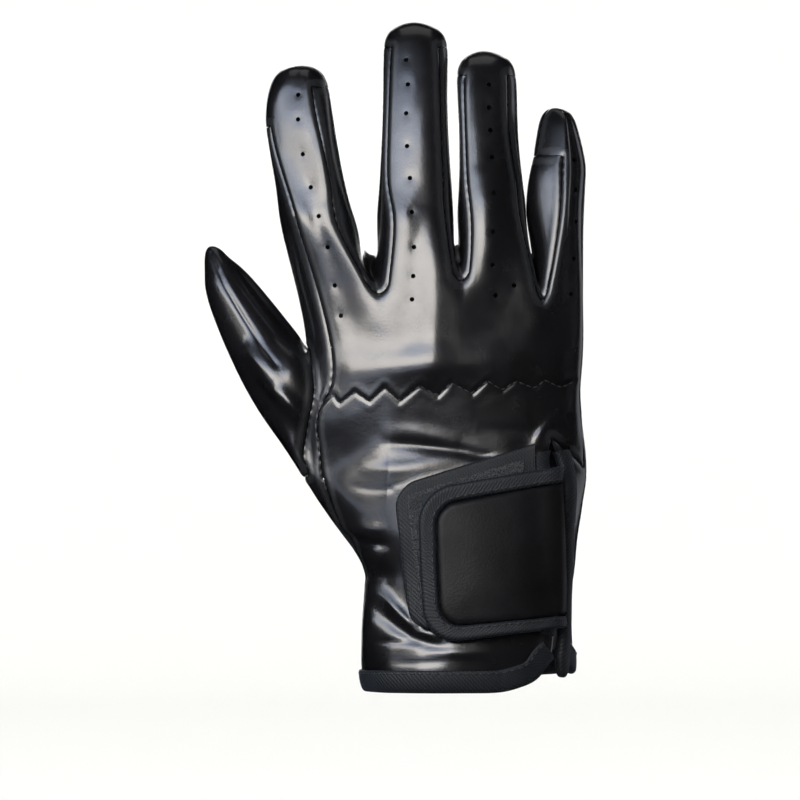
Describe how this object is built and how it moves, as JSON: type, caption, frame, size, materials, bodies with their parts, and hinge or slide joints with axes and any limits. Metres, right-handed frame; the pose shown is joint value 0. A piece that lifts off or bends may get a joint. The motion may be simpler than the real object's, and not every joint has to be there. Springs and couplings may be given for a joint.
{
  "type": "driving glove",
  "caption": "Short-cuffed leather glove for a right hand, with pierced fingers, a gathered back, and a wrist slit closed by a tab over a pile pad.",
  "frame": {"origin": "centre of the cuff's mouth, where the hand goes in", "axes": "+Z from the cuff to the fingertips, +X towards the little finger, +Y from the back of the hand to the palm"},
  "size_m": [0.134, 0.0528, 0.2346],
  "materials": {
    "leather": "smooth glossy black leather",
    "binding": "matt woven tape, dark navy grey",
    "loop_pile": "matt pile of small loops, black"
  },
  "bodies": {
    "root": {"back_panel": "leather", "palm_panel": "leather", "fourchette_index_middle": "leather", "fourchette_middle_ring": "leather", "fourchette_ring_little": "leather", "thumb": "leather", "hem_binding": "binding", "slit_binding_back": "binding", "slit_binding_palm": "binding", "loop_pad": "loop_pile", "tab_panel": "leather", "tab_binding": "binding"}
  },
  "joints": []
}
